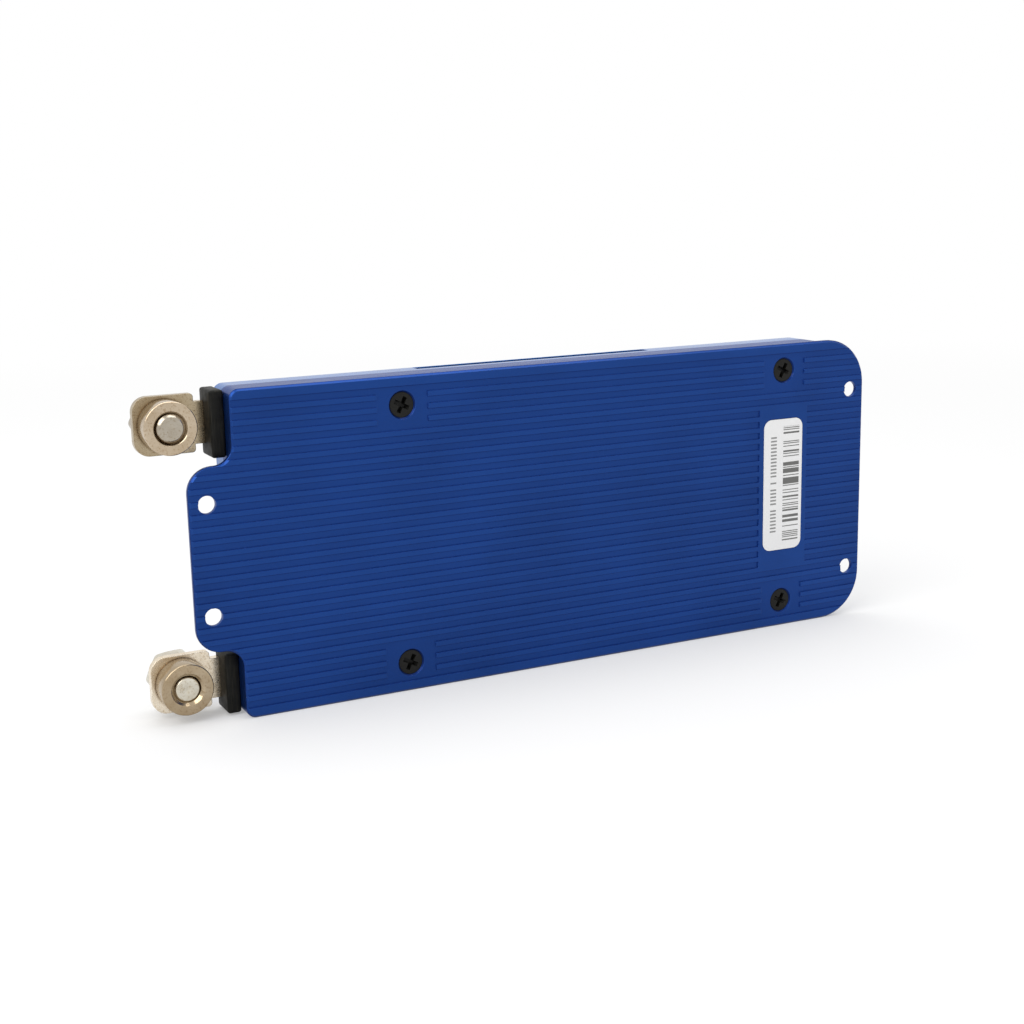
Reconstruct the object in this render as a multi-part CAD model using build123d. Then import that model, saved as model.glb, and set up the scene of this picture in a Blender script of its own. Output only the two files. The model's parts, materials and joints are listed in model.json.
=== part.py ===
"""Slim battery management board in a two-part blue aluminium case, standing on its long edge.

Built in case coordinates: X runs along the case from its left end, Y is the depth from the ribbed
back to the smooth front, Z is up from the edge it stands on. Everything is in millimetres, and
every piece is moved to the row's own origin in one place, at the end.
"""

import os

from build123d import *

# Case outline
CASE_L = 141.5
CASE_H = 65.0
MID_Z = CASE_H / 2
CASE_R = 2.0
RIGHT_CASE_R = 5.0
WALL = 1.5
CASE_EDGE = 0.45
POCKET_R = 1.5

# Ribbed back plate and its two mounting flanges
PLATE_T = 6.2
PLATE_FLOOR = 3.0
FLANGE_T = 1.2
RIGHT_FLANGE = 8.5
RIGHT_R = 10.3
TAB_L = 9.0
TAB_INSET = 14.3
TAB_HALF = MID_Z - TAB_INSET
TAB_R = 5.0
TAB_FILLET = 3.6
PLATE_R = CASE_L + RIGHT_FLANGE

# Ribs on the back: a groove lies on the middle line and the pattern repeats from it to a plain edge
RIB_PITCH = 2.475
GROOVE_W = 1.375
GROOVE_D = 0.3
PLAIN_EDGE = 2.0
GROOVES_EACH_WAY = int((MID_Z - PLAIN_EDGE - GROOVE_W / 2) / RIB_PITCH)

# Mounting holes in the flanges
HOLE_R = 1.75
HOLE_INSET = 3.6
LEFT_HOLE_HALF = 11.0
RIGHT_HOLE_HALF = 20.9

# Front cover
COVER_T = 5.4
COVER_Y = PLATE_T + COVER_T
COVER_SKIN = 1.0
COVER_IN = COVER_Y - COVER_SKIN
COVER_EDGE = 0.7

# Case screws, with the ribs milled away round each head, and the blocks inside that they go through
SCREW_LEFT_INSET = 35.2
SCREW_RIGHT_INSET = 13.75
SCREW_EDGE_INSET = 5.9
PAD_HALF_X = 5.5
PAD_HALF_Z = 4.2
HEAD_R = 2.6
SHANK_R = 1.45
HEAD_SUNK = 0.25
HEAD_Y = GROOVE_D + HEAD_SUNK
CONE_H = HEAD_R - SHANK_R
SEAT_CLEAR = 0.05
SCREW_END = 10.3
HOLE_CLEAR = 0.25
THREAD_CLEAR = 0.05
BLOCK_HALF = 3.4
CROSS_L = 3.3
CROSS_W = 0.8
CROSS_DEPTH = 0.9
CROSS_TURN = -27.0

# Label, sunk in a shallow seat on a field of the back where the grooves stop
LABEL_INSET = 13.85
LABEL_RISE = 0.6
LABEL_X = CASE_L - LABEL_INSET
LABEL_Z = MID_Z + LABEL_RISE
LABEL_W = 10.5
LABEL_H = 30.1
LABEL_T = 0.1
LABEL_R = 2.0
LABEL_CLEAR = 0.1
LABEL_SEAT = 0.12
FIELD_MARGIN = 1.2
FIELD_GROOVES = 7

# Terminals: a plated copper lug with a round nut pressed in from the back and a bolt from the front
TERM_X = -10.55
TERM_INSET = 6.9
LUG_L = 11.8
LUG_H = 11.4
LUG_T = 1.6
LUG_R = 3.0
LUG_SMALL_R = 0.7
LUG_INNER_X = 15.0
NECK_HALF = 4.1
NUT_R = 5.15
NUT_H = 5.1
NUT_SINK = 0.35
NUT_SHANK_R = 3.9
NUT_SHANK_L = 1.4
NUT_CLEAR = 0.05
BOLT_R = 3.0
BOLT_L = 8.0
BOLT_CHAMFER = 0.8
BOLT_HEAD = 4.0
HEX_FLATS = 9.5
HEX_CHAMFER = 0.4
HEAD_TURN = {"upper": 0.0, "lower": 5.0}
WASHER_T = 1.3
WASHER_R = 4.7
TERMS = {"upper": CASE_H - TERM_INSET, "lower": TERM_INSET}

# Rubber grommets that hold the lugs in the end wall
GROM_OUT = 2.75
GROM_HALF = 6.15
GROM_CORNER = 0.8
GROM_Y = (3.6, 10.6)
GROM_Z_SHIFT = {"upper": 0.35, "lower": -0.35}
NOTCH_HALF = 5.2
NOTCH_Y = (4.4, 10.15)

# Circuit board: the lugs, bars and chips stand on its front face, the transistors on its back
LUG_Y = 8.1
LUG_FAR = LUG_Y + LUG_T
BOARD_T = 2.0
BOARD_Y = LUG_Y - BOARD_T
BOARD_GAP = 0.5

# Copper bars on the front of the board: one at each lug and one over each row of transistors
BAR_T = 1.2
LUG_BAR_HALF = 3.5
LUG_BAR_END = SCREW_LEFT_INSET - BLOCK_HALF - 0.8
ROW_BAR_X0 = 18.0
ROW_BAR_END_INSET = 16.5
ROW_BAR_X1 = CASE_L - ROW_BAR_END_INSET
ROW_BAR_INNER = 5.5
ROW_BAR_H = 8.0
ROW_BAR_OUTER = ROW_BAR_INNER + ROW_BAR_H

# Power transistors under the row bars, as many as fit, and the soft pad between them and the plate
PAD_T = 1.0
PAD_MARGIN = 1.0
MOS_W = 6.6
MOS_H = 6.1
MOS_PITCH = 7.6
MOS_ROW = ROW_BAR_INNER + ROW_BAR_H / 2
MOS_Y = PLATE_FLOOR + PAD_T
MOS_COUNT = 1 + int((ROW_BAR_X1 - ROW_BAR_X0 - MOS_W) / MOS_PITCH)
MOS_SPAN = (MOS_COUNT - 1) * MOS_PITCH
MOS_X = (ROW_BAR_X0 + ROW_BAR_X1 - MOS_SPAN) / 2
LEAD_W = 0.9
LEAD_T = 0.5
LEAD_L = 2.2
LEAD_OFF = 2.2

# Shunts and chips on the front of the board, along its middle line
SHUNT_W = 3.2
SHUNT_H = 6.4
SHUNT_T = 0.8
SHUNT_X = 22.0
SHUNT_PITCH = 5.0
SHUNT_COUNT = 5
CONTROL_CHIP_X = 63.5
CONTROL_CHIP_W = 7.0
CONTROL_CHIP_T = 1.4
MONITOR_CHIP_X = 85.0
MONITOR_CHIP_W = 10.0
MONITOR_CHIP_H = 5.2
MONITOR_CHIP_T = 1.2
COIL_X = 102.5
COIL_W = 5.0
COIL_T = 2.2

# Rows of small parts above and below the row bars
SMALL_X = 44.0
SMALL_GAP = 2.0
RESISTOR_W = 1.6
RESISTOR_H = 3.2
RESISTOR_T = 0.6
RESISTOR_PITCH = 4.4
RESISTOR_COUNT = 12
CAPACITOR_W = 2.0
CAPACITOR_H = 1.25
CAPACITOR_T = 0.9
CAPACITOR_PITCH = 7.5
CAPACITOR_COUNT = 10

# Window in the cover's top wall, and the sockets that fill it
WINDOW_X0 = 42.0
WINDOW_L = 55.0
WINDOW_X1 = WINDOW_X0 + WINDOW_L
WINDOW_Y = 8.0
SOCKET_TOP = CASE_H - 0.45
SOCKET_DEEP = 8.0
SOCKET_GAP = 0.5
SOCKET_BASE = 1.5
SOCKET_WALL = 0.45
CELL_PIN_COUNT = 13
DATA_PIN_COUNT = 5
PROBE_PIN_COUNT = 4
SOCKETS = {
    "cell_sense_socket": CELL_PIN_COUNT,
    "data_socket": DATA_PIN_COUNT,
    "probe_socket": PROBE_PIN_COUNT,
}
PIN_W = 0.5
PIN_BELOW = 1.2

OVER = 1.0
TO_DEPTH = Rot(90, 0, 0)


def slab(outline, y0, y1):
    """Extrudes an outline drawn in X and Z from depth y0 to depth y1."""
    return TO_DEPTH * (Pos(0, 0, -y1) * extrude(outline, y1 - y0))


def box(x0, x1, y0, y1, z0, z1):
    """A plain block given by its six limits."""
    return Pos((x0 + x1) / 2, (y0 + y1) / 2, (z0 + z1) / 2) * Box(x1 - x0, y1 - y0, z1 - z0)


def chip(x, z, width, height, thick):
    """A flat part that stands on the front face of the board."""
    return box(x - width / 2, x + width / 2, LUG_Y, LUG_Y + thick, z - height / 2, z + height / 2)


def rod(x, z, r, y0, y1):
    """A round bar along the depth."""
    return slab(Pos(x, z) * Circle(r), y0, y1)


def cone(x, z, r0, r1, y0, y1):
    """A taper along the depth: r0 at depth y0 and r1 at depth y1."""
    return Pos(x, (y0 + y1) / 2, z) * Rot(-90, 0, 0) * Cone(r0, r1, y1 - y0)


def rounded(x0, x1, z0, z1, r):
    """A rectangle in X and Z with four equal corners."""
    return Pos((x0 + x1) / 2, (z0 + z1) / 2) * RectangleRounded(x1 - x0, z1 - z0, r)


def round_corners(outline, x, z_middle, z_half, r):
    """Rounds the two corners of an outline that lie at x, one above and one below its middle."""
    wanted = [
        v for v in outline.vertices()
        if abs(v.X - x) < 0.01 and abs(abs(v.Y - z_middle) - z_half) < 0.01
    ]
    return fillet(wanted, r)


def case_outline(inset):
    """The case's outline in X and Z, a distance in from its walls, with rounder right corners."""
    half = MID_Z - inset
    outline = Pos(CASE_L / 2, MID_Z) * Rectangle(CASE_L - 2 * inset, 2 * half)
    outline = round_corners(outline, inset, MID_Z, half, max(CASE_R - inset, POCKET_R))
    return round_corners(outline, CASE_L - inset, MID_Z, half, RIGHT_CASE_R - inset)


def hex_bar(x, z, turn, y0, y1):
    """A hexagonal bar of the standard width across flats, along the depth."""
    outline = Pos(x, z) * Rot(0, 0, turn) * RegularPolygon(HEX_FLATS / 2, 6, major_radius=False)
    return slab(outline, y0, y1)


def places(count, start, pitch):
    """Evenly spaced places along X."""
    return [start + i * pitch for i in range(count)]


SCREWS = {
    side + "_" + level: (x, z)
    for side, x in (("left", SCREW_LEFT_INSET), ("right", CASE_L - SCREW_RIGHT_INSET))
    for level, z in (("lower", SCREW_EDGE_INSET), ("upper", CASE_H - SCREW_EDGE_INSET))
}


def screw_block(x, z, y0, y1):
    """A block against the inside of the long wall, for a case screw to go through."""
    z0, z1 = (WALL, z + BLOCK_HALF) if z < MID_Z else (z - BLOCK_HALF, CASE_H - WALL)
    return box(x - BLOCK_HALF, x + BLOCK_HALF, y0, y1, z0, z1)


def plate_blank():
    """The plate before its ribs: a thin skin with both flanges, and the thick pocketed body."""
    tab = Pos(0, MID_Z) * Rectangle(2 * TAB_L, 2 * TAB_HALF)
    skin = Pos(PLATE_R / 2, MID_Z) * Rectangle(PLATE_R, CASE_H) + tab
    skin = round_corners(skin, PLATE_R, MID_Z, MID_Z, RIGHT_R)
    skin = round_corners(skin, 0, MID_Z, MID_Z, CASE_R)
    skin = round_corners(skin, -TAB_L, MID_Z, TAB_HALF, TAB_R)
    skin = round_corners(skin, 0, MID_Z, TAB_HALF, TAB_FILLET)
    flange = slab(skin, 0, FLANGE_T)
    flange = chamfer(flange.faces().sort_by(Axis.Y)[0].edges(), CASE_EDGE)
    body = slab(case_outline(0), FLANGE_T / 2, PLATE_T)
    plate = flange + body - slab(case_outline(WALL), PLATE_FLOOR, PLATE_T + OVER)
    for x, z in SCREWS.values():
        plate += screw_block(x, z, PLATE_FLOOR, BOARD_Y)
    return plate


def pad_grooves(z):
    """The first and last groove that a screw's pad joins, counted from the middle line."""
    first = round((z - PAD_HALF_Z - MID_Z) / RIB_PITCH)
    last = round((z + PAD_HALF_Z - MID_Z) / RIB_PITCH)
    return max(first, -GROOVES_EACH_WAY), min(last, GROOVES_EACH_WAY)


def rib_cuts():
    """The grooves between the ribs, and the pads round the screws where the ribs are milled away."""
    field_half = (FIELD_GROOVES + 0.5) * RIB_PITCH
    field_w = LABEL_W / 2 + FIELD_MARGIN
    field = box(LABEL_X - field_w, LABEL_X + field_w, -OVER, OVER, MID_Z - field_half, MID_Z + field_half)
    cuts = []
    for n in range(-GROOVES_EACH_WAY, GROOVES_EACH_WAY + 1):
        z = MID_Z + n * RIB_PITCH
        groove = box(-TAB_L - OVER, PLATE_R + OVER, -OVER, GROOVE_D, z - GROOVE_W / 2, z + GROOVE_W / 2)
        cuts.append(groove - field if abs(n) <= FIELD_GROOVES else groove)
    for x, z in SCREWS.values():
        z0, z1 = sorted(MID_Z + n * RIB_PITCH for n in pad_grooves(z))
        z0 -= GROOVE_W / 2
        z1 += GROOVE_W / 2
        cuts.append(box(x - PAD_HALF_X, x + PAD_HALF_X, -OVER, GROOVE_D, z0, z1))
    return cuts


def hole_cuts():
    """The mounting holes, the countersunk screw holes and the notches for the grommets."""
    cuts = []
    for x, half in ((-TAB_L + HOLE_INSET, LEFT_HOLE_HALF), (PLATE_R - HOLE_INSET, RIGHT_HOLE_HALF)):
        for z in (MID_Z - half, MID_Z + half):
            cuts.append(rod(x, z, HOLE_R, -OVER, FLANGE_T + OVER))
    wide = HEAD_R + HEAD_SUNK + SEAT_CLEAR
    narrow = SHANK_R + HOLE_CLEAR
    for x, z in SCREWS.values():
        cuts.append(rod(x, z, narrow, 0, BOARD_Y + OVER))
        cuts.append(cone(x, z, wide + OVER, narrow, GROOVE_D - OVER, GROOVE_D + wide - narrow))
    for z in TERMS.values():
        cuts.append(box(-OVER, WALL + OVER, NOTCH_Y[0], PLATE_T + OVER, z - NOTCH_HALF, z + NOTCH_HALF))
    return cuts


def label_outline(clear):
    """The label's outline in X and Z, grown by a clearance all round."""
    half_w = LABEL_W / 2 + clear
    half_h = LABEL_H / 2 + clear
    corner = LABEL_R + clear
    return rounded(LABEL_X - half_w, LABEL_X + half_w, LABEL_Z - half_h, LABEL_Z + half_h, corner)


def back_plate():
    plate = plate_blank()
    for cut in rib_cuts() + hole_cuts():
        plate -= cut
    return plate - slab(label_outline(LABEL_CLEAR), -OVER, LABEL_SEAT)


def front_cover():
    """A shallow tray with screw blocks, grommet notches and the window for the sockets."""
    cover = slab(case_outline(0), PLATE_T, COVER_Y)
    cover = chamfer(cover.faces().sort_by(Axis.Y)[-1].edges(), COVER_EDGE)
    cover -= slab(case_outline(WALL), PLATE_T - OVER, COVER_IN)
    for x, z in SCREWS.values():
        cover += screw_block(x, z, LUG_Y, COVER_IN)
        cover -= rod(x, z, SHANK_R + THREAD_CLEAR, LUG_Y - OVER, SCREW_END + THREAD_CLEAR)
    cover -= box(WINDOW_X0, WINDOW_X1, WINDOW_Y, COVER_IN, CASE_H - 2 * WALL, CASE_H + OVER)
    for z in TERMS.values():
        cover -= box(-OVER, WALL + OVER, PLATE_T - OVER, NOTCH_Y[1], z - NOTCH_HALF, z + NOTCH_HALF)
    return cover


def case_screw(x, z):
    """A countersunk screw of 90 degrees with a cross recess, its head just under the plate's pad."""
    screw = cone(x, z, HEAD_R, SHANK_R, HEAD_Y, HEAD_Y + CONE_H)
    screw += rod(x, z, SHANK_R, HEAD_Y + CONE_H / 2, SCREW_END)
    arms = Rectangle(CROSS_L, CROSS_W) + Rectangle(CROSS_W, CROSS_L)
    return screw - slab(Pos(x, z) * Rot(0, 0, CROSS_TURN) * arms, HEAD_Y - OVER, HEAD_Y + CROSS_DEPTH)


def terminal_lug(z):
    """A flat head with a bolt hole, and a narrower neck that runs in to the board."""
    x0 = TERM_X - LUG_L / 2
    x1 = TERM_X + LUG_L / 2
    head = Pos(TERM_X, z) * Rectangle(LUG_L, LUG_H)
    neck = Pos((TERM_X + LUG_INNER_X) / 2, z) * Rectangle(LUG_INNER_X - TERM_X, 2 * NECK_HALF)
    outline = head + neck
    outline = round_corners(outline, x0, z, LUG_H / 2, LUG_R)
    outline = round_corners(outline, x1, z, LUG_H / 2, LUG_SMALL_R)
    return slab(outline, LUG_Y, LUG_FAR) - rod(TERM_X, z, NUT_SHANK_R + NUT_CLEAR, LUG_Y - OVER, LUG_FAR + OVER)


def terminal_nut(z):
    """A round nut with a countersunk mouth, held by its shank in the hole of the lug."""
    y0 = LUG_Y - NUT_H
    y1 = LUG_Y + NUT_SHANK_L
    nut = rod(TERM_X, z, NUT_R, y0, LUG_Y) + rod(TERM_X, z, NUT_SHANK_R, LUG_Y, y1)
    nut -= rod(TERM_X, z, BOLT_R, y0 - OVER, y1 + OVER)
    return nut - cone(TERM_X, z, BOLT_R + NUT_SINK, BOLT_R, y0, y0 + NUT_SINK)


def terminal_bolt(z, turn):
    """A hexagon bolt with a washer under its head, from the front, its end level with the nut."""
    under = LUG_FAR + WASHER_T
    y0 = under - BOLT_L
    head = hex_bar(TERM_X, z, turn, under, under + BOLT_HEAD)
    bolt = cone(TERM_X, z, BOLT_R - BOLT_CHAMFER, BOLT_R, y0, y0 + BOLT_CHAMFER)
    bolt += rod(TERM_X, z, BOLT_R, y0 + BOLT_CHAMFER, under)
    bolt += rod(TERM_X, z, WASHER_R, LUG_FAR, under)
    return bolt + chamfer(head.faces().sort_by(Axis.Y)[-1].edges(), HEX_CHAMFER)


def grommet(z_hole, z_body):
    """A rubber block outside the end wall, with a neck through the wall and a slot for the lug."""
    block = box(-GROM_OUT, 0, *GROM_Y, z_body - GROM_HALF, z_body + GROM_HALF)
    block = fillet(block.edges().filter_by(Axis.X), GROM_CORNER)
    block += box(-OVER, WALL, *NOTCH_Y, z_hole - NOTCH_HALF, z_hole + NOTCH_HALF)
    slot = box(-GROM_OUT - OVER, WALL + OVER, LUG_Y, LUG_FAR, z_hole - NECK_HALF, z_hole + NECK_HALF)
    return block - slot


def circuit_board():
    board = slab(case_outline(WALL + BOARD_GAP), BOARD_Y, LUG_Y)
    for x, z in SCREWS.values():
        board -= rod(x, z, SHANK_R + HOLE_CLEAR, BOARD_Y - OVER, LUG_Y + OVER)
    return board


def transistor_row(z):
    """A row of power transistors between the soft pad and the back face of the board."""
    row = []
    for x in places(MOS_COUNT, MOS_X, MOS_PITCH):
        row.append(box(x - MOS_W / 2, x + MOS_W / 2, MOS_Y, BOARD_Y, z - MOS_H / 2, z + MOS_H / 2))
    return Compound(row)


def lead_row(z, outward):
    """The two leads of each transistor in a row, on its side away from the middle line."""
    root = z + outward * MOS_H / 2
    z0, z1 = sorted((root, root + outward * LEAD_L))
    row = []
    for x in places(MOS_COUNT, MOS_X, MOS_PITCH):
        for middle in (x - LEAD_OFF, x + LEAD_OFF):
            row.append(box(middle - LEAD_W / 2, middle + LEAD_W / 2, BOARD_Y - LEAD_T, BOARD_Y, z0, z1))
    return Compound(row)


def thermal_pad():
    x0 = MOS_X - MOS_W / 2 - PAD_MARGIN
    x1 = MOS_X + MOS_SPAN + MOS_W / 2 + PAD_MARGIN
    half = MOS_ROW + MOS_H / 2 + PAD_MARGIN
    return box(x0, x1, PLATE_FLOOR, MOS_Y, MID_Z - half, MID_Z + half)


def row_bar(outward):
    """A copper bar over one row of transistors, on the other face of the board."""
    z0, z1 = sorted(MID_Z + outward * z for z in (ROW_BAR_INNER, ROW_BAR_OUTER))
    return box(ROW_BAR_X0, ROW_BAR_X1, LUG_Y, LUG_Y + BAR_T, z0, z1)


def socket(x0, x1):
    """A socket housing, open at the top where the plug goes in."""
    housing = box(x0, x1, LUG_Y, COVER_IN, SOCKET_TOP - SOCKET_DEEP, SOCKET_TOP)
    floor = SOCKET_TOP - SOCKET_DEEP + SOCKET_BASE
    w = SOCKET_WALL
    return housing - box(x0 + w, x1 - w, LUG_Y + w, COVER_IN - w, floor, SOCKET_TOP + OVER)


def socket_pins(x_middle, count, pitch):
    """The contact pins that stand on a socket's floor."""
    y = (LUG_Y + COVER_IN) / 2
    half = PIN_W / 2
    z0 = SOCKET_TOP - SOCKET_DEEP + SOCKET_BASE
    z1 = SOCKET_TOP - PIN_BELOW
    first = x_middle - (count - 1) / 2 * pitch
    return [box(x - half, x + half, y - half, y + half, z0, z1) for x in places(count, first, pitch)]


def sockets():
    """The three sockets side by side in the window, which they fill at one pitch of their pins."""
    nodes = {}
    pins = []
    room = WINDOW_L - (len(SOCKETS) + 1) * SOCKET_GAP
    pitch = room / (sum(SOCKETS.values()) + len(SOCKETS))
    x = WINDOW_X0 + SOCKET_GAP
    for name, count in SOCKETS.items():
        width = pitch * (count + 1)
        nodes[name] = socket(x, x + width)
        pins += socket_pins(x + width / 2, count, pitch)
        x += width + SOCKET_GAP
    nodes["socket_pins"] = Compound(pins)
    return nodes


def resistor_row():
    """Balance resistors above the upper row bar."""
    z = MID_Z + ROW_BAR_OUTER + SMALL_GAP + RESISTOR_H / 2
    row = places(RESISTOR_COUNT, SMALL_X, RESISTOR_PITCH)
    return Compound([chip(x, z, RESISTOR_W, RESISTOR_H, RESISTOR_T) for x in row])


def capacitor_row():
    """Ceramic capacitors below the lower row bar."""
    z = MID_Z - ROW_BAR_OUTER - SMALL_GAP - CAPACITOR_H / 2
    row = places(CAPACITOR_COUNT, SMALL_X, CAPACITOR_PITCH)
    return Compound([chip(x, z, CAPACITOR_W, CAPACITOR_H, CAPACITOR_T) for x in row])


def all_nodes():
    nodes = {"back_plate": back_plate(), "front_cover": front_cover()}
    nodes["label"] = slab(label_outline(0), LABEL_SEAT - LABEL_T, LABEL_SEAT)
    for name, (x, z) in SCREWS.items():
        nodes["case_screw_" + name] = case_screw(x, z)
    for name, z in TERMS.items():
        nodes[name + "_terminal_lug"] = terminal_lug(z)
        nodes[name + "_terminal_nut"] = terminal_nut(z)
        nodes[name + "_terminal_bolt"] = terminal_bolt(z, HEAD_TURN[name])
        nodes[name + "_grommet"] = grommet(z, z + GROM_Z_SHIFT[name])
        nodes[name + "_lug_bar"] = box(
            LUG_INNER_X, LUG_BAR_END, LUG_Y, LUG_Y + BAR_T, z - LUG_BAR_HALF, z + LUG_BAR_HALF
        )
    for name, sign in (("upper", 1), ("lower", -1)):
        nodes[name + "_transistors"] = transistor_row(MID_Z + sign * MOS_ROW)
        nodes[name + "_transistor_leads"] = lead_row(MID_Z + sign * MOS_ROW, sign)
        nodes[name + "_row_bar"] = row_bar(sign)
    nodes["circuit_board"] = circuit_board()
    nodes["thermal_pad"] = thermal_pad()
    for i, x in enumerate(places(SHUNT_COUNT, SHUNT_X, SHUNT_PITCH)):
        nodes["current_shunt_" + str(i + 1)] = chip(x, MID_Z, SHUNT_W, SHUNT_H, SHUNT_T)
    nodes["control_chip"] = chip(CONTROL_CHIP_X, MID_Z, CONTROL_CHIP_W, CONTROL_CHIP_W, CONTROL_CHIP_T)
    nodes["monitor_chip"] = chip(MONITOR_CHIP_X, MID_Z, MONITOR_CHIP_W, MONITOR_CHIP_H, MONITOR_CHIP_T)
    nodes["power_coil"] = chip(COIL_X, MID_Z, COIL_W, COIL_W, COIL_T)
    nodes["balance_resistors"] = resistor_row()
    nodes["ceramic_capacitors"] = capacitor_row()
    nodes.update(sockets())
    return nodes


# The row's origin: the middle of the whole part's footprint, on the edge it stands on
X_MIDDLE = (TERM_X - LUG_L / 2 + PLATE_R) / 2
Y_MIDDLE = (LUG_FAR + WASHER_T + BOLT_HEAD) / 2

os.makedirs("parts", exist_ok=True)
for node, shape in all_nodes().items():
    export_step(Pos(-X_MIDDLE, -Y_MIDDLE, 0) * shape, "parts/" + node + ".step")
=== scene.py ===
"""Looks for a slim battery management board in a blue aluminium case, standing on its long edge.

The case, label, lugs and the board inside keep their CAD solids and get their finishes here. The
case screws, the grommets and the terminals' nuts and bolts are modelled finer, and stand for
their solids. All sizes are in metres, in the CAD model's own frame.
"""

import json
import math

import bmesh
import bpy
from mathutils import Matrix, Vector


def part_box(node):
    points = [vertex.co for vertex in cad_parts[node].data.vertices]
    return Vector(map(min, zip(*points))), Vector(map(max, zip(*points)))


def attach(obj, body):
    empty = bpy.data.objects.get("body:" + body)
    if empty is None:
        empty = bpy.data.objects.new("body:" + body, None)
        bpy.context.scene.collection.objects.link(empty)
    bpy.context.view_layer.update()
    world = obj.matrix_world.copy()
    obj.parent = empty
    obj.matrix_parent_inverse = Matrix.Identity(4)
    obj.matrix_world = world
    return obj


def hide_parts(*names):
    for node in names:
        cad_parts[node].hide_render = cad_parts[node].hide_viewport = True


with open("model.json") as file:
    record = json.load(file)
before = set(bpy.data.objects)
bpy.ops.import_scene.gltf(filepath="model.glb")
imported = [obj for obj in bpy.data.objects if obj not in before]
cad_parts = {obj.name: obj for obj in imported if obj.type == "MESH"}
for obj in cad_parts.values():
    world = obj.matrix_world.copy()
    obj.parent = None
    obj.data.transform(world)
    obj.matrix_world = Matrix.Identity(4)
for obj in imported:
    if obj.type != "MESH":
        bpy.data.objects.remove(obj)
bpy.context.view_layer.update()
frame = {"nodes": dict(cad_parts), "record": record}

MM = 0.001

# Studio: white floor round the object's shadow, which runs out to plain white further off
FLOOR_WHITE = 0.51
FLOOR_GLOW = 0.32
FADE_FROM = 0.12
FADE_TO = 0.7
WORLD_LIGHT = 0.64
FLOOR_SIZE = 12.0
KEY_LAMP = {"at": (-0.75, -0.35, 0.75), "aim": (0.0, 0.0, 0.03), "size": (0.8, 0.8), "power": 6.4}
TOP_LAMP = {"at": (0.1, 0.15, 1.0), "aim": (0.0, 0.0, 0.0), "size": (1.2, 0.8), "power": 7.0}

# Camera, solved from the case's corners, edges and holes in the photograph
CAMERA_AT = Vector((-0.15153, -0.29345, 0.10376))
CAMERA_AIM = Vector((-0.00445, -0.00053, 0.03306))
CAMERA_ROLL = math.radians(-1.215)
CAMERA_LENS = 55.455
CAMERA_CLIP = (0.01, 30.0)

# Terminal hardware
NUT_FRONT_EDGE = 0.32 * MM
NUT_BACK_EDGE = 0.22 * MM
NUT_SHANK_R = 3.9 * MM
HEX_FLATS = 9.5 * MM
HEX_FACE_R = 4.6 * MM
HEX_EDGE = 0.12 * MM
HEX_STEP = 0.04 * MM
HEAD_TURN = {"upper": 0.0, "lower": 5.0}
WASHER_T = 1.3 * MM
WASHER_R = 4.7 * MM
WASHER_EDGE = 0.2 * MM
THREAD_R = 3.0 * MM
THREAD_PITCH = 1.0 * MM
THREAD_ROOT = 2.45 * MM
THREAD_STEP = 0.08 * MM
TIP_R = 2.2 * MM
TIP_THREAD = 2.0 * MM
TIP_DIMPLE = ((0.06 * MM, 0.16 * MM), (0.0, 0.3 * MM))
TIP_EDGE = 0.06 * MM
TIP_START = 0.03 * MM
THREAD_RUN_OUT = 0.2 * MM
BOLT_SHIFT = {"upper": -0.3 * MM, "lower": 0.45 * MM}
SINK_R = 3.35 * MM
SINK_SLOPE = 1.0
SINK_EDGE = (0.03 * MM, 0.05 * MM)
MOUTH_DEPTH = 2.4 * MM
BACK_SINK = 0.2 * MM
CHAMFER_H = 0.65 * MM
CHAMFER_RUN = 1.73
CHAMFER_RINGS = 8
CHAMFER_SPREAD = 1.5
RIM_RINGS = 4
CORNER_POWER = 26.0
CREASE_POWER = 90.0
TURNS = 120
SHARP_FROM = math.radians(32.0)

# Rubber grommets
GROM_ROUND = 0.55 * MM
GROM_SEGMENTS = 5
GROM_SHARP_FROM = math.radians(30.0)
GROM_IN_WALL = 0.02 * MM
GROM_LONGER = {"upper": 0.75 * MM, "lower": 0.0}
GROM_NECK_LAP = 1.0 * MM
GROM_NECK_HALF = 5.2 * MM
GROM_NECK_Y = (0.8 * MM, 0.45 * MM)
LUG_NECK_HALF = 4.1 * MM
SLOT_OVER = 1.0 * MM

# Case screws
SCREW_CONE = 1.15 * MM
SCREW_SHANK_R = 1.45 * MM
SCREW_RIM = 0.12 * MM
SCREW_RIM_STEPS = (
    (0.0, 2.0 * SCREW_RIM),
    (0.03 * MM, SCREW_RIM),
    (SCREW_RIM, 0.01 * MM),
    (1.6 * SCREW_RIM, 0.05 * MM),
)
SCREW_MIDDLE_R = 0.4 * MM
SCREW_POINT = (0.4 * MM, 0.3 * MM)
CROSS_TURN = -27.0
CROSS_HALF_L = 1.7 * MM
CROSS_HALF_W = 0.48 * MM
CROSS_DEPTH = 1.3 * MM
CROSS_OVER = 0.3 * MM
CROSS_MOUTH_L = 1.1
CROSS_FOOT_L = 0.64
CROSS_FOOT_W = 0.7

# The ribbed face of the plate: depths under the rib tops, places along it, limits of the masks
RIB_TOP = 0.1 * MM
RIB_FLOOR = 0.2 * MM
RIB_FACE = 0.36 * MM
RIB_LINE = 0.2 * MM
PLATE_RIM = 0.9 * MM
ENDS_FROM = 20.0 * MM
RIB_EDGE = (0.003, 0.06)
UNDER_TILT = (-0.3, -0.05)
SINK_FACING = (0.6, 0.8)
END_FACING = (0.6, 0.9)
UPRIGHT = (0.03, 0.12)

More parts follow.
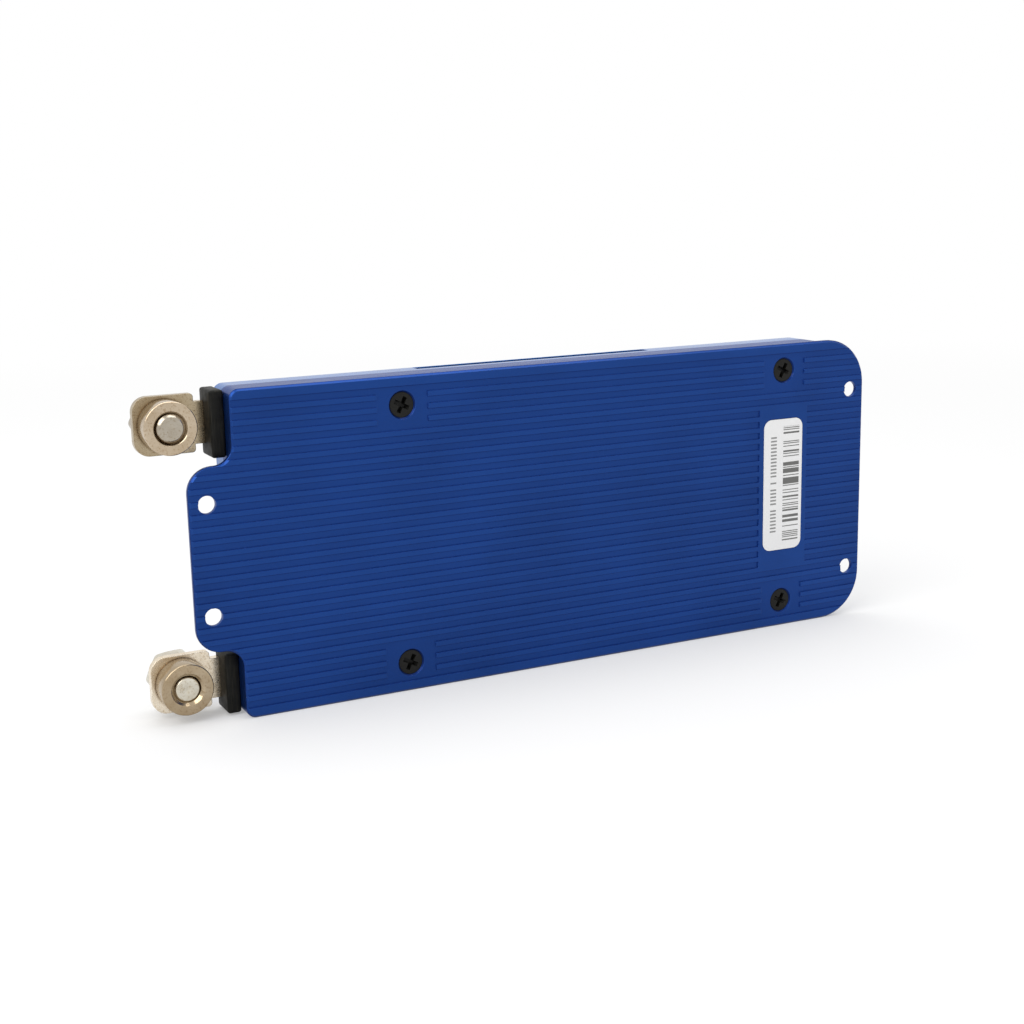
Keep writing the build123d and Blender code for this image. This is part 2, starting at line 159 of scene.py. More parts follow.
# Tones of painted light and shade that the ribbed face's colour is multiplied by
RIB_TOP_LIGHT_TONE = (1.15, 1.13, 1.08)
RIB_SHADE_LINE_TONE = (0.52, 0.7, 0.92)
RIB_UNDER_SHADE_TONE = (0.3, 0.4, 0.55)
SEAT_SHADE_TONE = (0.25, 0.38, 0.5)
END_LIGHT_TONE = (2.4, 2.2, 1.9)

# Painted light going up the terminals, dull patches, spots, and painted shade where pieces meet
PAINTED_LIGHT_Z = (20.0 * MM, 45.0 * MM)
DULL_TONE = (0.84, 0.8, 0.74)
SPOT_TONE = (0.6, 0.5, 0.38)
CREVICE = 0.7 * MM
CREVICE_RANGE = (0.35, 0.8)
CREVICE_SHADE_TONE = (0.42, 0.34, 0.25)

# Label print: generic bars, and a column of plain dashes beside them with pauses here and there
BAR_STEP = 0.21 * MM
BAR_SHARE = 0.5
BAR_X = (5.3 * MM, 9.7 * MM)
BAR_Z = (2.0 * MM, 28.4 * MM)
BAR_STRENGTH = 0.92
DASH_PITCH = 0.8 * MM
DASH_PART = (0.25, 0.72)
DASH_PAUSE = 0.16
DASH_X = (1.9 * MM, 3.5 * MM)
DASH_Z = (3.0 * MM, 26.8 * MM)
DASH_STRENGTH = 0.75

# Grain of the plain finishes inside the case, in cycles a metre
PLAIN_GRAIN = 2500.0
PLAIN_CLOUD = PLAIN_GRAIN / 12.0

# Colours; the lower terminal's plating gets other colours than the upper one's, painted light for the
# different reflections each terminal shows
RUBBER = {"dark": (0.005, 0.005, 0.0045), "light": (0.0135, 0.0135, 0.0118)}
RUBBER_STREAK = (0.026, 0.024, 0.018)
RUBBER_DUST = (0.07, 0.065, 0.055)
OXIDE = {"dark": (0.004, 0.004, 0.0033), "light": (0.011, 0.0105, 0.009)}
OXIDE_SHEEN = (0.035, 0.035, 0.035)
RECESS_SHADE = (0.001, 0.001, 0.001)
FILM = {"dark": (0.91, 0.91, 0.91), "light": (0.96, 0.96, 0.96)}
INK = (0.05, 0.05, 0.045)
PLATE_BLUE = (0.0084, 0.0422, 0.202)
COVER_BLUE = (0.022, 0.124, 0.395)
LUG_LOW = (0.86, 0.77, 0.63)
LUG_HIGH = (0.44, 0.365, 0.252)
NUT_LOW = (0.43, 0.345, 0.235)
NUT_HIGH = (0.54, 0.445, 0.33)
BOLT_LOW = (0.69, 0.66, 0.57)
BOLT_HIGH = (0.44, 0.4, 0.335)


def add_node(tree, kind, settings=None, **inputs):
    """Adds a node, with its settings and its inputs given as numbers or as other outputs."""
    node = tree.nodes.new("ShaderNode" + kind)
    for key, value in (settings or {}).items():
        setattr(node, key, value)
    for key, value in inputs.items():
        numbered = key[0] == "i" and key[1:].isdigit()
        socket = node.inputs[int(key[1:]) if numbered else key.replace("_", " ")]
        if isinstance(value, bpy.types.NodeSocket):
            tree.links.new(value, socket)
        else:
            socket.default_value = value
    return node


class Look:
    """A material's node tree, with short ways to add what the finishes share."""

    def __init__(self, name, color, rough, metal=0.0, **sockets):
        self.material = bpy.data.materials.new(name)
        self.material.use_nodes = True
        self.tree = self.material.node_tree
        self.shader = self.tree.nodes["Principled BSDF"]
        self.shader.inputs["Base Color"].default_value = (*color, 1.0)
        self.shader.inputs["Roughness"].default_value = rough
        self.shader.inputs["Metallic"].default_value = metal
        for key, value in sockets.items():
            self.shader.inputs[key.replace("_", " ")].default_value = value
        self.coords = self.add("TexCoord").outputs["Object"]
        self.normal = None
        self.rounded = None

    def add(self, kind, settings=None, **inputs):
        """Adds a node to this material."""
        return add_node(self.tree, kind, settings, **inputs)

    def axis(self, name):
        """One axis of the object coordinates."""
        return self.add("SeparateXYZ", Vector=self.coords).outputs[name]

    def stretched(self, x, y, z):
        """Object coordinates, scaled along each axis."""
        return self.add("Mapping", Vector=self.coords, Scale=(x, y, z)).outputs[0]

    def noise(self, scale, detail=2.0, coords=None):
        """Smooth noise from 0 to 1, with its scale in cycles a metre."""
        node = self.add("TexNoise", Vector=coords or self.coords, Scale=scale, Detail=detail)
        return node.outputs["Fac"]

    def chance(self, value):
        """A chance number from 0 to 1 for each value."""
        return self.add("TexWhiteNoise", {"noise_dimensions": "1D"}, W=value).outputs["Value"]

    def math(self, operation, a, b=0.0):
        """One arithmetic step on numbers or outputs."""
        return self.add("Math", {"operation": operation}, i0=a, i1=b).outputs[0]

    def facing(self, axis):
        """How far the plain face points along one axis, either way, from 0 to 1."""
        normal = self.add("NewGeometry").outputs["Normal"]
        return self.math("ABSOLUTE", self.add("SeparateXYZ", Vector=normal).outputs[axis])

    def ramp(self, value, low, high, to_low=0.0, to_high=1.0):
        """Maps a value from low..high to to_low..to_high, held at both ends."""
        inputs = {"i0": value, "i1": low, "i2": high, "i3": to_low, "i4": to_high}
        return self.add("MapRange", {"clamp": True}, **inputs).outputs[0]

    def mix(self, factor, a, b, blend="MIX"):
        """Mixes two colours, each given as three numbers or an output."""
        a = (*a, 1.0) if isinstance(a, tuple) else a
        b = (*b, 1.0) if isinstance(b, tuple) else b
        settings = {"data_type": "RGBA", "blend_type": blend}
        return self.add("Mix", settings, i0=factor, i6=a, i7=b).outputs[2]

    def tinted(self, color, tone):
        """A colour multiplied by a tone."""
        return self.mix(1.0, color, tone, "MULTIPLY")

    def bump(self, height, distance, strength=1.0):
        """Adds relief of that distance in metres over what is there already."""
        node = self.add("Bump", Height=height, Distance=distance, Strength=strength)
        if self.normal is not None:
            self.tree.links.new(self.normal, node.inputs["Normal"])
        self.normal = node.outputs[0]

    def soften(self, radius):
        """Rounds the shading of sharp edges."""
        self.normal = self.add("Bevel", {"samples": 6}, Radius=radius).outputs[0]

    def edges(self, radius, low=0.02, high=0.3, upright=True):
        """A mask from 0 on flat faces to 1 at an edge, with or without the upright edges."""
        self.rounded = self.add("Bevel", {"samples": 6}, Radius=radius).outputs[0]
        flat = self.add("NewGeometry").outputs["Normal"]
        dot = self.add("VectorMath", {"operation": "DOT_PRODUCT"}, i0=self.rounded, i1=flat)
        mask = self.ramp(dot.outputs["Value"], 1.0 - high, 1.0 - low, 1.0, 0.0)
        if not upright:
            across = self.add("SeparateXYZ", Vector=self.rounded).outputs["X"]
            lying = self.ramp(self.math("ABSOLUTE", across), *UPRIGHT, 1.0, 0.0)
            mask = self.math("MULTIPLY", mask, lying)
        return mask

    def crevice_shade(self, distance):
        """A mask of the places close to another surface, from 0 in the open to 1 deep inside, for
        painted shade.
        """
        node = self.add("AmbientOcclusion", {"samples": 8}, Distance=distance)
        return self.ramp(node.outputs["AO"], *CREVICE_RANGE, 1.0, 0.0)

    def use(self, color, rough):
        """Connects what was made and returns the material."""
        self.tree.links.new(color, self.shader.inputs["Base Color"])
        self.tree.links.new(rough, self.shader.inputs["Roughness"])
        self.tree.links.new(self.normal, self.shader.inputs["Normal"])
        return self.material


def inside(look, value, low, high):
    """1 where a value lies between two limits, else 0."""
    above = look.math("GREATER_THAN", value, low)
    below = look.math("LESS_THAN", value, high)
    return look.math("MULTIPLY", above, below)


def blue_case(name, base, rough, edge, finish=None, **sockets):
    """Satin blue anodised aluminium: fine blasted grain, faint drawn lines, lighter edges."""
    look = Look(name, base, rough, metal=0.9, Specular_IOR_Level=0.3, **sockets)
    look.soften(edge)
    drawn = look.noise(900.0, 3.0, look.stretched(0.03, 1.0, 1.0))
    grain = look.noise(7000.0, 2.0)
    cloud = look.noise(45.0, 3.0)
    look.bump(grain, 0.012 * MM, 0.5)
    look.bump(drawn, 0.01 * MM, 0.3)
    dark = tuple(0.9 * v for v in base)
    light = tuple(1.1 * v for v in base)
    color = look.mix(look.ramp(cloud, 0.3, 0.7), dark, light)
    speck = look.ramp(grain, 0.35, 0.75, 0.0, 0.3)
    color = look.mix(speck, color, tuple(1.4 * v for v in base))
    worn = look.math("MULTIPLY", look.edges(0.1 * MM), 0.2)
    color = look.mix(worn, color, tuple(0.7 * v + 0.05 for v in base))
    if finish is not None:
        color = finish(look, color)
    rough_map = look.ramp(drawn, 0.25, 0.75, rough - 0.05, rough + 0.07)
    return look.use(color, rough_map)


def rib_edge_shade(look, color, shallow, low, high):
    """Painted shade: a thin dark line along both edges of each rib, darker along the lower ones."""
    shade_lines = look.math("MULTIPLY", look.edges(RIB_LINE, *RIB_EDGE, upright=False), shallow)
    height = inside(look, look.axis("Z"), low.z + PLATE_RIM, high.z - PLATE_RIM)
    shade_lines = look.math("MULTIPLY", shade_lines, height)
    color = look.mix(shade_lines, color, look.tinted(color, RIB_SHADE_LINE_TONE))
    tilt = look.add("SeparateXYZ", Vector=look.rounded).outputs["Z"]
    # Painted shade, darker still where the rounded edge faces down
    under = look.math("MULTIPLY", shade_lines, look.ramp(tilt, *UNDER_TILT, 1.0, 0.0))
    return look.mix(under, color, look.tinted(color, RIB_UNDER_SHADE_TONE))


def groove_end_light(look, color, shallow, low, high):
    """Painted light on the walls where the grooves stop at the label's field and at the screw pads."""
    lit_ends = look.math("MULTIPLY", look.ramp(look.facing("X"), *END_FACING), shallow)
    along = inside(look, look.axis("X"), low.x + ENDS_FROM, high.x - PLATE_RIM)
    lit_ends = look.math("MULTIPLY", lit_ends, along)
    return look.mix(lit_ends, color, look.tinted(color, END_LIGHT_TONE))


def ribbed_tone(look, color):
    """Painted light on the rib tops and groove ends, painted shade along the ribs' edges and in the
    screw seats.
    """
    low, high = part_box("back_plate")
    depth = look.math("SUBTRACT", look.axis("Y"), low.y)
    shallow = look.math("LESS_THAN", depth, RIB_FACE)
    # Painted light: rib tops lighter than the groove floors, which stand in shade
    lit_tops = look.ramp(depth, RIB_TOP, RIB_FLOOR, 1.0, 0.0)
    color = look.mix(lit_tops, color, look.tinted(color, RIB_TOP_LIGHT_TONE))
    color = rib_edge_shade(look, color, shallow, low, high)
    # Painted shade in the sunk screw seats
    sunk = inside(look, look.facing("Y"), *SINK_FACING)
    sunk = look.math("MULTIPLY", sunk, look.math("GREATER_THAN", depth, RIB_FACE))
    color = look.mix(sunk, color, look.tinted(color, SEAT_SHADE_TONE))
    return groove_end_light(look, color, shallow, low, high)


def black_rubber(name):
    """Moulded rubber: matt, with a fine grain and a little dust on it."""
    look = Look(name, (0.02, 0.02, 0.018), 0.5, Specular_IOR_Level=0.11)
    look.soften(0.15 * MM)
    grain = look.noise(5200.0, 3.0)
    cloud = look.noise(420.0, 4.0)
    look.bump(grain, 0.02 * MM, 0.5)
    color = look.mix(look.ramp(cloud, 0.35, 0.7), RUBBER["dark"], RUBBER["light"])
    streaks = look.noise(3200.0, 2.0, look.stretched(1.0, 1.0, 0.06))
    color = look.mix(look.ramp(streaks, 0.52, 0.72), color, RUBBER_STREAK)
    dust = look.math("MULTIPLY", look.ramp(grain, 0.6, 0.8), 0.15)
    color = look.mix(dust, color, RUBBER_DUST)
    return look.use(color, look.ramp(cloud, 0.3, 0.7, 0.4, 0.6))


def plated_metal(name, low_base, high_base, rough, edge):
    """Nickel plating with small pits, painted light that shifts its colour going up, and painted shade
    where it meets other pieces.
    """
    look = Look(name, high_base, rough, metal=1.0)
    look.soften(edge)
    pits = look.noise(2600.0, 4.0)
    cloud = look.noise(260.0, 3.0)
    fine = look.noise(11000.0, 2.0)
    look.bump(pits, 0.012 * MM, 0.4)
    look.bump(fine, 0.003 * MM, 0.3)
    # Painted light: the colour runs from the lower terminal's to the upper one's with height
    base = look.mix(look.ramp(look.axis("Z"), *PAINTED_LIGHT_Z), low_base, high_base)
    dull = look.tinted(base, DULL_TONE)
    color = look.mix(look.ramp(cloud, 0.35, 0.65), base, dull)
    spots = look.math("MULTIPLY", look.ramp(pits, 0.54, 0.68), 0.6)
    color = look.mix(spots, color, look.tinted(base, SPOT_TONE))
    # Painted shade where the metal sits close to another surface
    color = look.mix(look.crevice_shade(CREVICE), color, look.tinted(color, CREVICE_SHADE_TONE))
    return look.use(color, look.ramp(pits, 0.3, 0.7, rough - 0.06, rough + 0.08))


def black_oxide(name):
    """Blackened steel screws with a painted sheen on their edges."""
    look = Look(name, (0.02, 0.02, 0.018), 0.42, metal=0.0, Specular_IOR_Level=0.2)
    look.soften(0.06 * MM)
    grain = look.noise(6000.0, 3.0)
    look.bump(grain, 0.01 * MM, 0.5)
    # Painted highlight: the edges are made lighter
    edge = look.math("MULTIPLY", look.edges(0.08 * MM), 0.5)
    color = look.mix(look.ramp(grain, 0.3, 0.7), OXIDE["dark"], OXIDE["light"])
    color = look.mix(edge, color, OXIDE_SHEEN)
    # Painted shade, near black in the cross recess and close to other surfaces
    color = look.mix(look.crevice_shade(CREVICE), color, RECESS_SHADE)
    return look.use(color, look.ramp(grain, 0.3, 0.7, 0.34, 0.48))


def plain_look(name, color, rough, metal=0.0):
    """A finish with fine grain and gentle variation, for the parts inside the case."""
    look = Look(name, color, rough, metal)
    grain = look.noise(PLAIN_GRAIN, 3.0)
    cloud = look.noise(PLAIN_CLOUD, 3.0)
    look.bump(grain, 0.01 * MM, 0.5)
    dark = tuple(0.8 * v for v in color)
    light = tuple(1.2 * v for v in color)
    mixed = look.mix(look.ramp(cloud, 0.3, 0.7), dark, light)
    return look.use(mixed, look.ramp(grain, 0.3, 0.7, rough - 0.07, rough + 0.08))


def printed_bars(look, x, z):
    """Generic bars of uneven width, across the label."""
    row = look.math("FLOOR", look.math("DIVIDE", z, BAR_STEP))
    bars = look.math("GREATER_THAN", look.chance(row), BAR_SHARE)
    bars = look.math("MULTIPLY", bars, inside(look, x, *BAR_X))
    bars = look.math("MULTIPLY", bars, inside(look, z, *BAR_Z))
    return look.math("MULTIPLY", bars, BAR_STRENGTH)


def printed_dashes(look, x, z):
    """A column of plain dashes, with some of them left out."""
    row = look.math("DIVIDE", z, DASH_PITCH)
    shown = look.math("GREATER_THAN", look.chance(look.math("FLOOR", row)), DASH_PAUSE)
    dashes = look.math("MULTIPLY", inside(look, look.math("FRACT", row), *DASH_PART), shown)
    dashes = look.math("MULTIPLY", dashes, inside(look, x, *DASH_X))
    dashes = look.math("MULTIPLY", dashes, inside(look, z, *DASH_Z))
    return look.math("MULTIPLY", dashes, DASH_STRENGTH)


def label_film(name):
    """Glossy white film with its print."""
    gloss = {"Specular_IOR_Level": 0.5, "Coat_Weight": 0.6, "Coat_Roughness": 0.2}
    look = Look(name, (0.9, 0.9, 0.9), 0.35, **gloss)
    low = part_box("label")[0]
    x = look.math("SUBTRACT", look.axis("X"), low.x)
    z = look.math("SUBTRACT", look.axis("Z"), low.z)
    ink = look.math("MAXIMUM", printed_bars(look, x, z), printed_dashes(look, x, z))
    grain = look.noise(3000.0, 2.0)
    look.bump(grain, 0.004 * MM, 0.5)
    film = look.mix(grain, FILM["dark"], FILM["light"])
    return look.use(look.mix(ink, film, INK), look.ramp(grain, 0.3, 0.7, 0.3, 0.42))


PLATE_FINISH = blue_case("blue_plate_finish", PLATE_BLUE, 0.42, 0.14 * MM, ribbed_tone, Coat_Weight=0.09)
COVER_FINISH = blue_case("blue_cover_finish", COVER_BLUE, 0.38, 0.2 * MM, Coat_Weight=0.5)
BOLT_FINISH = plated_metal("plated_bolt_finish", BOLT_LOW, BOLT_HIGH, 0.2, 0.05 * MM)
FINISHES = {
    "back_plate": PLATE_FINISH,
    "front_cover": COVER_FINISH,
    "black_steel": black_oxide("black_screw_finish"),
    "label": label_film("label_film"),
    "plated_copper": plated_metal("plated_lug_finish", LUG_LOW, LUG_HIGH, 0.27, 0.15 * MM),
    "plated_steel": plated_metal("plated_nut_finish", NUT_LOW, NUT_HIGH, 0.16, 0.05 * MM),
    "grommet_rubber": black_rubber("grommet_rubber"),
}

# Colour, roughness and metal of the finishes inside the case
INNER_LOOKS = {
    "board_laminate": ((0.02, 0.16, 0.07), 0.35, 0.0),
    "chip_plastic": ((0.03, 0.03, 0.03), 0.55, 0.0),
    "tinned_metal": ((0.75, 0.74, 0.72), 0.3, 1.0),
    "thermal_pad": ((0.55, 0.62, 0.68), 0.7, 0.0),
    "bare_copper": ((0.72, 0.36, 0.2), 0.3, 1.0),
    "shunt_metal": ((0.45, 0.42, 0.38), 0.45, 1.0),
    "coil_ferrite": ((0.08, 0.08, 0.085), 0.6, 0.0),
    "resistor_ceramic": ((0.05, 0.05, 0.05), 0.4, 0.0),
    "capacitor_ceramic": ((0.5, 0.38, 0.24), 0.4, 0.0),
    "socket_plastic": ((0.05, 0.055, 0.06), 0.5, 0.0),
}
for slot_name, values in INNER_LOOKS.items():
    FINISHES[slot_name] = plain_look(slot_name, *values)


def as_object(work, name):
    """Turns a working mesh into an object of the scene."""
    bmesh.ops.recalc_face_normals(work, faces=work.faces)
    mesh = bpy.data.meshes.new(name)
    work.to_mesh(mesh)
    work.free()
    made = bpy.data.objects.new(name, mesh)
    bpy.context.scene.collection.objects.link(made)
    return made


def smooth(piece, sharp_from):
    """Shades a piece smooth, except across edges sharper than an angle."""
    for polygon in piece.data.polygons:
        polygon.use_smooth = True
    piece.data.set_sharp_from_angle(angle=sharp_from)


def cut_away(piece, cutter):
    """Takes one solid off another and removes the cutter."""
    cut = piece.modifiers.new("cut", "BOOLEAN")
    cut.object = cutter
    cut.operation = "DIFFERENCE"
    cut.solver = "EXACT"
    cut.use_self = True
    bpy.context.view_layer.update()
    evaluated = piece.evaluated_get(bpy.context.evaluated_depsgraph_get())
    done = bpy.data.meshes.new_from_object(evaluated)
    piece.modifiers.clear()
    piece.data = done
    bpy.data.objects.remove(cutter)


def tube_mesh(name, centre, rings):
    """A closed piece from rings of points, each given as a depth and a radius for every angle."""
    work = bmesh.new()
    made = []
    for depth, radius in rings:
        ring = []
        for i in range(TURNS):
            angle = 2.0 * math.pi * i / TURNS
            r = radius(angle) if callable(radius) else radius
            at = Vector((centre.x + r * math.cos(angle), depth, centre.z + r * math.sin(angle)))
            ring.append(work.verts.new(at))
        made.append(ring)
    for first, second in zip(made, made[1:]):
        for i in range(TURNS):
            j = (i + 1) % TURNS
            work.faces.new((first[i], first[j], second[j], second[i]))
    work.faces.new(made[0])
    work.faces.new(reversed(made[-1]))
    piece = as_object(work, name)
    smooth(piece, SHARP_FROM)
    return piece


def hex_radius(turn):
    """The radius of a hexagon with slightly rounded corners, at each angle."""
    def radius(angle):
        total = 0.0
        for k in range(6):
            side = math.cos(angle - math.radians(turn + 30.0 + 60.0 * k))
            total += max(side, 0.0) ** CORNER_POWER
        return HEX_FLATS / 2.0 / total ** (1.0 / CORNER_POWER)
    return radius


def capped(outline, limit):
    """The outline's radius, held under a limit with a slightly rounded crease between the two."""
    def radius(angle):
        total = outline(angle) ** -CREASE_POWER + limit ** -CREASE_POWER
        return total ** (-1.0 / CREASE_POWER)
    return radius


def hex_rings(turn, face, inward, height):
    """Rings of a hexagonal body from its chamfered face, at depth face, to its other end."""
    outline = hex_radius(turn)
    rings = [(face, HEX_FACE_R - HEX_EDGE)]
    for i in range(CHAMFER_RINGS + 1):
        drop = (i / CHAMFER_RINGS) ** CHAMFER_SPREAD * CHAMFER_H
        limit = HEX_FACE_R + drop * CHAMFER_RUN
        rings.append((face + inward * (drop + HEX_STEP), capped(outline, limit)))
    rings.append((face + inward * height, outline))
    return rings


def thread_radius(depth, start=0.0):
    """The radius of a rounded thread at one depth, at each angle, from THREAD_ROOT to THREAD_R."""
    def radius(angle):
        phase = (depth + start) / THREAD_PITCH + angle / (2.0 * math.pi)
        wave = abs(2.0 * (phase - math.floor(phase)) - 1.0)
        return THREAD_ROOT + (THREAD_R - THREAD_ROOT) * wave
    return radius


def rim(face, radius, size, inward):
    """Rings of a quarter round, from the flat face at that depth out to the full radius."""
    rings = []
    for i in range(RIM_RINGS + 1):
        turn = math.pi / 2.0 * i / RIM_RINGS
        depth = face + inward * size * (1.0 - math.cos(turn))
        rings.append((depth, radius - size * (1.0 - math.sin(turn))))
    return rings


def join_ends(piece):
    """Opens the two end caps of a tube and joins their rims, so that it closes on itself."""
    work = bmesh.new()
    work.from_mesh(piece.data)
    caps = [face for face in work.faces if len(face.verts) > 4]
    rims = [edge for cap in caps for edge in cap.edges]
    bmesh.ops.delete(work, geom=caps, context="FACES_ONLY")
    bmesh.ops.bridge_loops(work, edges=rims)
    bmesh.ops.recalc_face_normals(work, faces=work.faces)
    work.to_mesh(piece.data)
    work.free()


def make_nut(level):
    """A round press nut: rounded rims, a shank in the lug and a countersunk, threaded mouth."""
    low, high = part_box(level + "_terminal_nut")
    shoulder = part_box(level + "_terminal_lug")[0].y
    centre = (low + high) / 2.0
    radius = (high.x - low.x) / 2.0
    rings = rim(low.y, radius, NUT_FRONT_EDGE, 1.0)
    rings += reversed(rim(shoulder, radius, NUT_BACK_EDGE, -1.0))
    rings += [(shoulder, NUT_SHANK_R), (high.y, NUT_SHANK_R)]
    mouth = [(high.y, THREAD_R + BACK_SINK), (high.y, THREAD_R)]
    depth = MOUTH_DEPTH
    while depth > 0.0:
        cone = SINK_R - depth * SINK_SLOPE
        thread = thread_radius(depth)
        mouth.append((low.y + depth, lambda angle, c=cone, t=thread: max(c, t(angle))))
        depth -= THREAD_STEP
    mouth.append((low.y + SINK_EDGE[0], SINK_R))
    mouth.append((low.y, SINK_R + SINK_EDGE[1]))
    nut = tube_mesh(level + "_nut", centre, rings + mouth)
    join_ends(nut)
    return nut


def make_bolt(level):
    """A hexagon bolt with a washer under its head, and a threaded, chamfered tip in the nut."""
    low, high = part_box(level + "_terminal_bolt")
    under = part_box(level + "_terminal_lug")[1].y
    shift = BOLT_SHIFT[level]
    seat = under + WASHER_T + shift
    centre = (low + high) / 2.0
    tip = low.y + shift
    rings = [(tip + sunk, radius) for sunk, radius in TIP_DIMPLE]
    rings.append((tip, TIP_R - TIP_EDGE))
    depth = TIP_START
    while depth < TIP_THREAD:
        cone = TIP_R + depth
        thread = thread_radius(tip - low.y + depth, THREAD_PITCH / 2.0)
        rings.append((tip + depth, lambda angle, c=cone, t=thread: min(c, t(angle))))
        depth += THREAD_STEP
    rings += [(tip + TIP_THREAD + THREAD_RUN_OUT, THREAD_R), (under, THREAD_R)]
    rings += rim(under, WASHER_R, WASHER_EDGE, 1.0)
    rings += reversed(rim(seat, WASHER_R, WASHER_EDGE, -1.0))
    rings += reversed(hex_rings(HEAD_TURN[level], high.y + shift, -1.0, high.y + shift - seat))
    return tube_mesh(level + "_bolt", centre, rings)


def block_into(work, low, high, round_by=0.0):
    """Adds a block between two corners to a mesh, with its edges rounded if a radius is given."""
    made = bmesh.ops.create_cube(work, size=1.0)["verts"]
    for vert in made:
        vert.co = Vector([a + (v + 0.5) * (b - a) for v, a, b in zip(vert.co, low, high)])
    if round_by > 0.0:
        edges = list({edge for vert in made for edge in vert.link_edges})
        shape = {"segments": GROM_SEGMENTS, "profile": 0.5, "affect": "EDGES"}
        bmesh.ops.bevel(work, geom=edges, offset=round_by, **shape)


def make_grommet(level):
    """A rubber block with rounded edges, its neck in the end wall and its slot for the lug."""
    low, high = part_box(level + "_grommet")
    lug_low, lug_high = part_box(level + "_terminal_lug")
    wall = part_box("front_cover")[0].x
    middle = (lug_low.z + lug_high.z) / 2.0
    work = bmesh.new()
    block_low = Vector((low.x, low.y, low.z - GROM_LONGER[level]))
    block_into(work, block_low, Vector((wall + GROM_IN_WALL, high.y, high.z)), GROM_ROUND)
    neck_low = Vector((wall - GROM_NECK_LAP, low.y + GROM_NECK_Y[0], middle - GROM_NECK_HALF))
    neck_high = Vector((high.x, high.y - GROM_NECK_Y[1], middle + GROM_NECK_HALF))
    block_into(work, neck_low, neck_high)
    piece = as_object(work, level + "_rubber")
    slot = bmesh.new()
    slot_low = Vector((low.x - SLOT_OVER, lug_low.y, middle - LUG_NECK_HALF))
    slot_high = Vector((high.x + SLOT_OVER, lug_high.y, middle + LUG_NECK_HALF))
    block_into(slot, slot_low, slot_high)
    cut_away(piece, as_object(slot, "slot"))
    smooth(piece, GROM_SHARP_FROM)
    return piece


def cross_cutter(at):
    """The tapered cross that is cut into a screw's head, as two crossed wedges."""
    work = bmesh.new()
    mouth = (-CROSS_OVER, CROSS_HALF_L * CROSS_MOUTH_L, CROSS_HALF_W)
    foot = (CROSS_DEPTH, CROSS_HALF_L * CROSS_FOOT_L, CROSS_HALF_W * CROSS_FOOT_W)
    for turn in (0.0, 90.0):
        corners = []
        for depth, half_l, half_w in (mouth, foot):
            for sx, sz in ((-1, -1), (1, -1), (1, 1), (-1, 1)):
                angle = math.radians(turn + CROSS_TURN)
                x = sx * half_l * math.cos(angle) - sz * half_w * math.sin(angle)
                z = sx * half_l * math.sin(angle) + sz * half_w * math.cos(angle)
                corners.append(work.verts.new(at + Vector((x, depth, z))))
        near, far = corners[:4], corners[4:]
        work.faces.new(near)
        work.faces.new(reversed(far))
        for i in range(4):
            j = (i + 1) % 4
            work.faces.new((near[j], near[i], far[i], far[j]))
    return as_object(work, "cutter")


def make_screw(name):
    """A countersunk case screw with a rounded rim and a cross recess, from its solid's place."""
    low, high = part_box(name)
    centre = (low + high) / 2.0
    head_r = (high.x - low.x) / 2.0
    rings = [(low.y, SCREW_MIDDLE_R)]
    rings += [(low.y + sunk, head_r - inset) for sunk, inset in SCREW_RIM_STEPS]
    rings += [(low.y + SCREW_CONE, SCREW_SHANK_R), (high.y - SCREW_POINT[0], SCREW_SHANK_R)]
    rings.append((high.y, SCREW_SHANK_R - SCREW_POINT[1]))
    screw = tube_mesh(name + "_fine", centre, rings)
    cut_away(screw, cross_cutter(Vector((centre.x, low.y, centre.z))))
    return screw


def stand_for(piece, node, slot, finish=None):
    """Dresses a finer piece and shows it in the place of its solid."""
    piece.data.materials.clear()
    piece.data.materials.append(finish or FINISHES[slot])
    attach(piece, "root")
    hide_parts(node)


def dress_nodes():
    """Gives every CAD node the finish of its material slot."""
    for part in frame["record"]["subparts"]:
        mesh = frame["nodes"][part["node"]].data
        mesh.materials.clear()
        mesh.materials.append(FINISHES[part["material_slot"]])


def place_pieces():
    """Makes the finer pieces and shows each in the place of its solid."""
    for level in ("upper", "lower"):
        stand_for(make_nut(level), level + "_terminal_nut", "plated_steel")
        stand_for(make_bolt(level), level + "_terminal_bolt", "plated_steel", BOLT_FINISH)
        stand_for(make_grommet(level), level + "_grommet", "grommet_rubber")
    for part in frame["record"]["subparts"]:
        if part["node"].startswith("case_screw"):
            stand_for(make_screw(part["node"]), part["node"], "black_steel")


def seen_white(tree):
    """1 for rays from the camera and for gloss and glass, which are shown a white studio."""
    path = add_node(tree, "LightPath").outputs
    most = {"operation": "MAXIMUM"}
    value = add_node(tree, "Math", most, i0=path["Is Camera Ray"], i1=path["Is Glossy Ray"])
    value = add_node(tree, "Math", most, i0=value.outputs[0], i1=path["Is Transmission Ray"])
    return value.outputs[0]


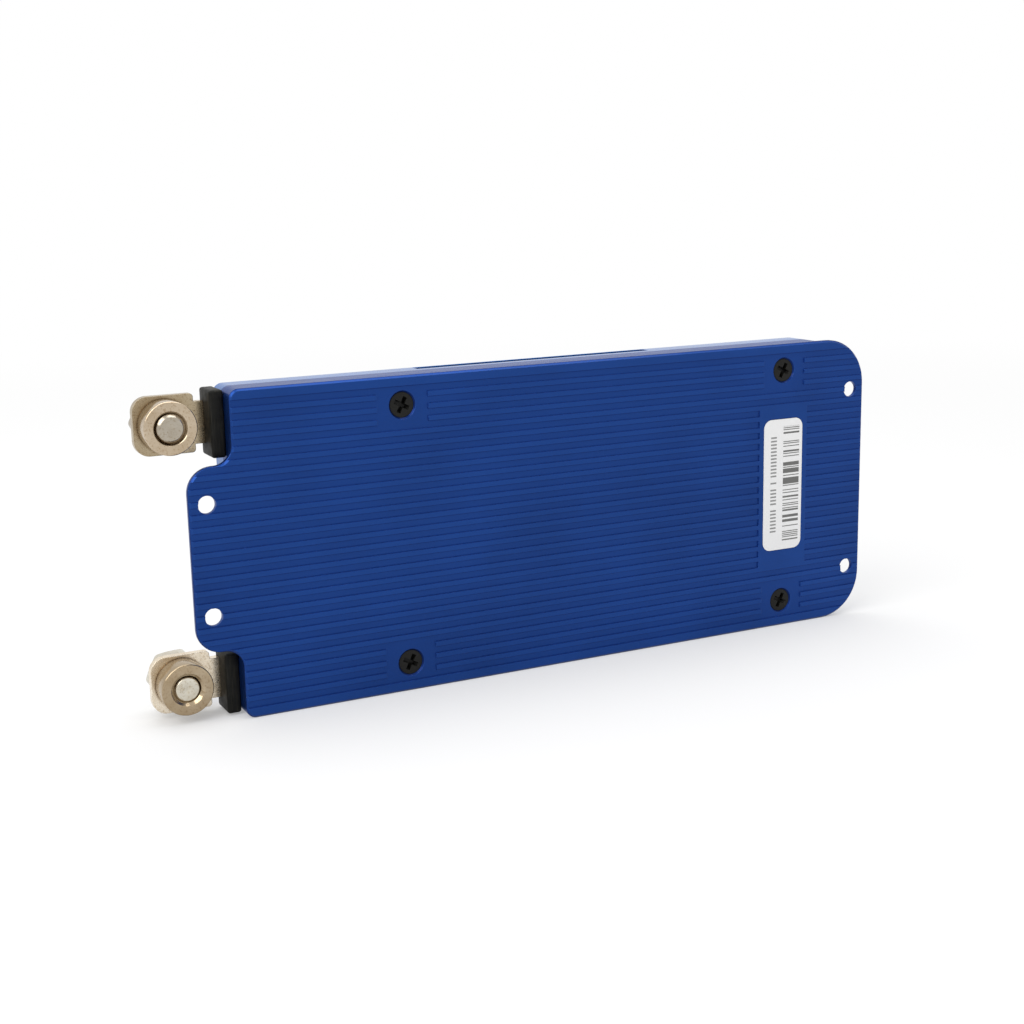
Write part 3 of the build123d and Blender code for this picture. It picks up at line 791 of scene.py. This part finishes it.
def floor_white():
    """White that keeps shadows near the object and runs out to plain white further off."""
    material = bpy.data.materials.new("floor_white")
    material.use_nodes = True
    tree = material.node_tree
    tree.nodes.clear()
    diffuse = add_node(tree, "BsdfDiffuse", Color=(FLOOR_WHITE, FLOOR_WHITE, FLOOR_WHITE, 1.0))
    strength = add_node(tree, "Math", {"operation": "MULTIPLY"}, i0=seen_white(tree), i1=FLOOR_GLOW)
    glow = add_node(tree, "Emission", Strength=strength.outputs[0])
    near = add_node(tree, "AddShader", i0=diffuse.outputs[0], i1=glow.outputs[0])
    far = add_node(tree, "Emission", Strength=1.0)
    coords = add_node(tree, "TexCoord").outputs["Object"]
    length = add_node(tree, "VectorMath", {"operation": "LENGTH"}, i0=coords).outputs["Value"]
    fade = {"Value": length, "From_Min": FADE_FROM, "From_Max": FADE_TO}
    fade = add_node(tree, "MapRange", {"interpolation_type": "SMOOTHSTEP"}, **fade).outputs[0]
    both = add_node(tree, "MixShader", i0=fade, i1=near.outputs[0], i2=far.outputs[0])
    add_node(tree, "OutputMaterial", Surface=both.outputs[0])
    return material


def make_floor():
    """A wide plain floor under the object."""
    bpy.ops.mesh.primitive_plane_add(size=FLOOR_SIZE)
    floor = bpy.context.object
    floor.name = "floor"
    floor.data.materials.append(floor_white())


def make_world():
    """An even world that lights plainly and shows white behind the object."""
    world = bpy.data.worlds.new("studio")
    bpy.context.scene.world = world
    world.use_nodes = True
    tree = world.node_tree
    levels = {"To_Min": WORLD_LIGHT, "To_Max": 1.0}
    strength = add_node(tree, "MapRange", Value=seen_white(tree), **levels).outputs[0]
    background = tree.nodes["Background"]
    background.inputs["Color"].default_value = (1.0, 1.0, 1.0, 1.0)
    tree.links.new(strength, background.inputs["Strength"])


def softbox(name, at, aim, size, power):
    """A large area lamp aimed at a point."""
    data = bpy.data.lights.new(name, "AREA")
    data.shape = "RECTANGLE"
    data.size, data.size_y = size
    data.energy = power
    lamp = bpy.data.objects.new(name, data)
    bpy.context.scene.collection.objects.link(lamp)
    lamp.location = at
    lamp.rotation_euler = (Vector(aim) - Vector(at)).to_track_quat("-Z", "Y").to_euler()


def make_camera():
    """The photograph's camera."""
    data = bpy.data.cameras.new("camera")
    data.lens = CAMERA_LENS
    data.clip_start, data.clip_end = CAMERA_CLIP
    camera = bpy.data.objects.new("camera", data)
    bpy.context.scene.collection.objects.link(camera)
    toward = (CAMERA_AIM - CAMERA_AT).to_track_quat("-Z", "Y").to_matrix().to_4x4()
    camera.matrix_world = Matrix.Translation(CAMERA_AT) @ toward @ Matrix.Rotation(CAMERA_ROLL, 4, "Z")
    bpy.context.scene.camera = camera


dress_nodes()
place_pieces()
make_floor()
make_world()
softbox("key", **KEY_LAMP)
softbox("top", **TOP_LAMP)
make_camera()
bpy.context.scene.view_settings.view_transform = "Standard"
